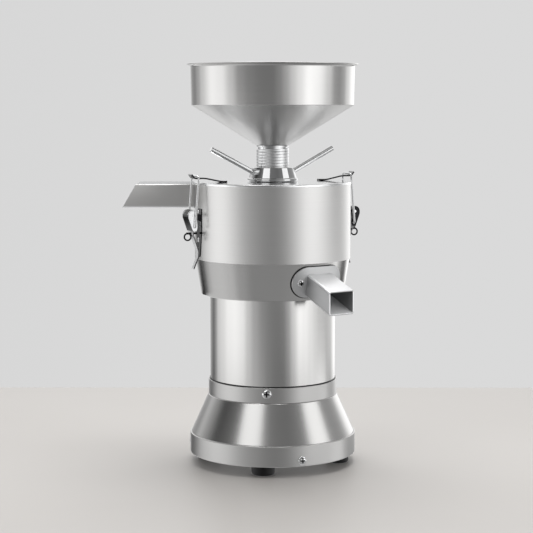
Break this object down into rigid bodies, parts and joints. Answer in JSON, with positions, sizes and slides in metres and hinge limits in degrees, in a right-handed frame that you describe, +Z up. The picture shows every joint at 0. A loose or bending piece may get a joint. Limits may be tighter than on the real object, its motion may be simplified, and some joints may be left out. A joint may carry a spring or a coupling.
{
  "type": "upright wet grinder",
  "caption": "Upright stainless wet grinder: feed hopper on a threaded tube, clamped drum with side pulp chute, sloped milk spout, motor housing and flared base on rubber feet.",
  "frame": {"origin": "on the worktop, on the axis of the drum and motor, at the middle of the four feet", "axes": "+Z up along the shaft; -Y is the front; -X is the way the pulp chute points"},
  "size_m": [0.3307, 0.2659, 0.5525],
  "materials": {
    "brushed_body": "satin",
    "polished_steel": "polished",
    "black_rubber": "satin",
    "black_plastic": "satin",
    "laminations": "matte",
    "windings": "gloss",
    "cast_alloy": "satin",
    "grinding_stone": "matte"
  },
  "bodies": {
    "housing": {"feet": "black_rubber", "foot_screws": "brushed_body", "base_pan": "cast_alloy", "base_ring": "brushed_body", "base_ring_screws": "polished_steel", "base_cone": "brushed_body", "collar": "polished_steel", "collar_screws": "polished_steel", "motor_housing": "brushed_body", "lower_end_bell": "cast_alloy", "upper_end_bell": "cast_alloy", "stator_core": "laminations", "stator_windings": "windings", "lower_bearing_outer": "polished_steel", "upper_bearing_outer": "polished_steel", "run_capacitor": "black_plastic", "capacitor_clip": "brushed_body", "cable_gland": "black_plastic", "switch_frame": "black_plastic", "milk_bowl": "brushed_body", "shaft_seal": "black_rubber", "bowl_bolts": "polished_steel", "drum": "brushed_body", "pulp_shelf": "brushed_body", "pulp_chute": "brushed_body", "milk_spout": "brushed_body", "spout_gasket": "black_rubber", "spout_screws": "polished_steel", "lid": "polished_steel", "lid_gasket": "black_rubber", "lid_sleeve": "brushed_body", "lid_catches": "polished_steel", "latch_bases": "brushed_body", "latch_rivets": "polished_steel", "latch_pins": "polished_steel"},
    "rotor": {"motor_shaft": "polished_steel", "rotor_core": "laminations", "rotor_end_rings": "cast_alloy", "lower_bearing_inner": "polished_steel", "upper_bearing_inner": "polished_steel", "cooling_fan": "black_plastic", "filter_basket": "brushed_body", "filter_screen": "brushed_body", "lower_stone": "grinding_stone", "stone_nut": "polished_steel"},
    "feed": {"feed_tube": "polished_steel", "feed_thread": "polished_steel", "stone_holder": "brushed_body", "upper_stone": "grinding_stone", "holder_screws": "polished_steel"},
    "nut": {"adjusting_nut": "polished_steel", "nut_handles": "polished_steel"},
    "hopper_body": {"hopper": "brushed_body"},
    "left_lever_body": {"left_lever": "brushed_body"},
    "left_bail_body": {"left_bail": "polished_steel"},
    "left_ring_body": {"left_ring_pin": "polished_steel"},
    "right_lever_body": {"right_lever": "brushed_body"},
    "right_bail_body": {"right_bail": "polished_steel"},
    "right_ring_body": {"right_ring_pin": "polished_steel"},
    "rocker": {"switch_rocker": "black_plastic"}
  },
  "joints": [
    {"name": "motor_spin", "type": "hinge", "parent": "housing", "child": "rotor", "pos_m": [0, 0, 0.2], "axis": [0, 0, 1], "continuous": true},
    {"name": "nut_turn", "type": "hinge", "parent": "housing", "child": "nut", "pos_m": [0, 0, 0.4015], "axis": [0, 0, 1], "range_deg": [-270, 0]},
    {"name": "feed_lift", "type": "slide", "parent": "housing", "child": "feed", "axis": [0, 0, 1], "range_m": [0, 0.0031]},
    {"name": "hopper_lift", "type": "slide", "parent": "feed", "child": "hopper_body", "axis": [0, 0, 1], "range_m": [0, 0.08]},
    {"name": "left_latch", "type": "hinge", "parent": "housing", "child": "left_lever_body", "pos_m": [-0.11133, -0.04611, 0.3475], "axis": [-0.3827, 0.9239, 0], "range_deg": [0, 120]},
    {"name": "left_bail_swing", "type": "hinge", "parent": "left_lever_body", "child": "left_bail_body", "pos_m": [-0.10985, -0.0455, 0.3315], "axis": [-0.3827, 0.9239, 0], "range_deg": [-97, 0]},
    {"name": "left_ring_pull", "type": "slide", "parent": "left_lever_body", "child": "left_ring_body", "axis": [-0.9239, -0.3827, 0], "range_m": [0, 0.004]},
    {"name": "right_latch", "type": "hinge", "parent": "housing", "child": "right_lever_body", "pos_m": [0.11133, 0.04611, 0.3475], "axis": [0.3827, -0.9239, 0], "range_deg": [0, 120]},
    {"name": "right_bail_swing", "type": "hinge", "parent": "right_lever_body", "child": "right_bail_body", "pos_m": [0.10985, 0.0455, 0.3315], "axis": [0.3827, -0.9239, 0], "range_deg": [-97, 0]},
    {"name": "right_ring_pull", "type": "slide", "parent": "right_lever_body", "child": "right_ring_body", "axis": [0.9239, 0.3827, 0], "range_m": [0, 0.004]},
    {"name": "switch_rock", "type": "hinge", "parent": "housing", "child": "rocker", "pos_m": [0, 0.10142, 0.06709], "axis": [1, 0, 0], "range_deg": [-20, 0]}
  ],
  "couplings": [
    {"joint": "feed_lift", "follows": "nut_turn", "m_per_rad": -0.00063662},
    {"joint": "left_bail_swing", "follows": "left_latch", "ratio": -0.8},
    {"joint": "right_bail_swing", "follows": "right_latch", "ratio": -0.8}
  ]
}
